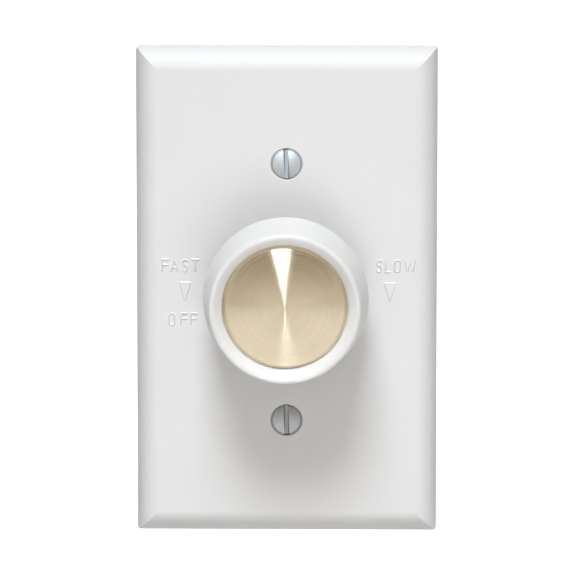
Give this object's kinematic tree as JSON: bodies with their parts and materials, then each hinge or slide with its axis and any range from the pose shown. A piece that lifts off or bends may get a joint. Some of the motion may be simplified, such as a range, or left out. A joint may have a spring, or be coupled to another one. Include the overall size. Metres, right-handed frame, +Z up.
{
  "type": "fan speed control switch",
  "caption": "Rotary fan speed control on a bevelled one-gang wall plate, with a tapered knob, spun metal insert, strap and rear housing.",
  "frame": {"origin": "middle of the two box-mounting holes, on the wall plane at the strap's rear face", "axes": "+Z up along the plate's height, +X to the right seen from the room, +Y into the wall"},
  "size_m": [0.0698, 0.0556, 0.1142],
  "materials": {
    "white_plastic": "moulded, semi-gloss",
    "spun_gold": "spun, gold anodised",
    "zinc_screw": "bright zinc plated",
    "strap_aluminium": "mill finish",
    "ground_green": "green dyed plating",
    "housing_plastic": "moulded, fine texture",
    "plain_steel": "plated",
    "bush_brass": "turned",
    "contact_bronze": "spring temper",
    "laminate": "paper laminate",
    "carrier_plastic": "moulded",
    "board_green": "glass laminate, green mask",
    "epoxy_black": "moulded",
    "grey_pad": "silicone sheet",
    "ferrite": "pressed",
    "copper_wire": "enamelled",
    "film_red": "dipped",
    "resistor_tan": "lacquered"
  },
  "bodies": {
    "base": {"wallplate": "white_plastic", "plate_screws": "zinc_screw", "mounting_strap": "strap_aluminium", "ground_screw": "ground_green", "housing": "housing_plastic", "housing_screws": "plain_steel", "pot_bushing": "bush_brass", "pot_nut": "bush_brass", "pot_washer": "plain_steel", "pot_case": "plain_steel", "pot_wafer": "laminate", "pot_terminals": "contact_bronze", "switch_base": "laminate", "switch_contacts": "contact_bronze", "circuit_board": "board_green", "triac": "epoxy_black", "triac_pad": "grey_pad", "triac_rivet": "strap_aluminium", "choke_core": "ferrite", "choke_winding": "copper_wire", "snubber_capacitor": "film_red", "timing_capacitor": "film_red", "resistors": "resistor_tan", "diac": "film_red"},
    "dial": {"knob": "white_plastic", "knob_insert": "spun_gold", "knob_spring": "plain_steel", "pot_shaft": "bush_brass", "shaft_clip": "plain_steel", "pot_rotor": "carrier_plastic", "pot_wiper": "contact_bronze", "switch_rotor": "carrier_plastic", "switch_bridge": "contact_bronze"}
  },
  "joints": [
    {"name": "speed_turn", "type": "hinge", "parent": "base", "child": "dial", "pos_m": [0, 0, 0], "axis": [0, 1, 0], "range_deg": [0, 300]}
  ]
}
